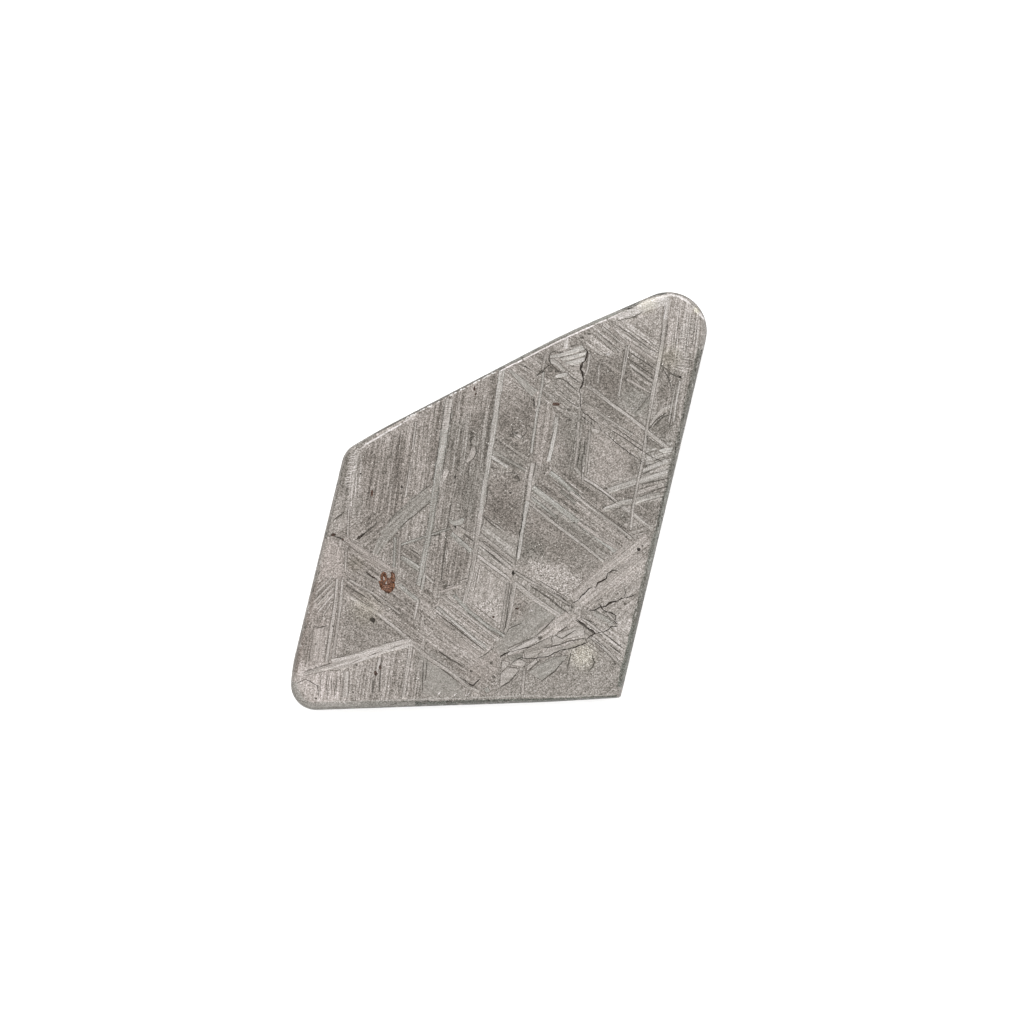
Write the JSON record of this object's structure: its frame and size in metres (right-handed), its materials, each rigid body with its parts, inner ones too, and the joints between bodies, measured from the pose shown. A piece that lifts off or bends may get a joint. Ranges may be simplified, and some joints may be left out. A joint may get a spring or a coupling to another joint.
{
  "type": "etched iron meteorite slice",
  "caption": "Flat sawn slice of an iron meteorite with chamfered edges, its polished face etched to show crossing metal plates, lying flat for display.",
  "frame": {"origin": "centre of the outline's box, on the flat sawn back face", "axes": "+Z out of the etched face, square to the slice; +Y towards the rounded tip's side, the top of the slice as pictured; +X to the right of it"},
  "size_m": [0.0261, 0.0261, 0.0025],
  "materials": {
    "etched_iron": "polished and acid-etched nickel iron, silky grey-brown bands, with a few rust spots and dark cracks"
  },
  "bodies": {
    "root": {"slice": "etched_iron"}
  },
  "joints": []
}
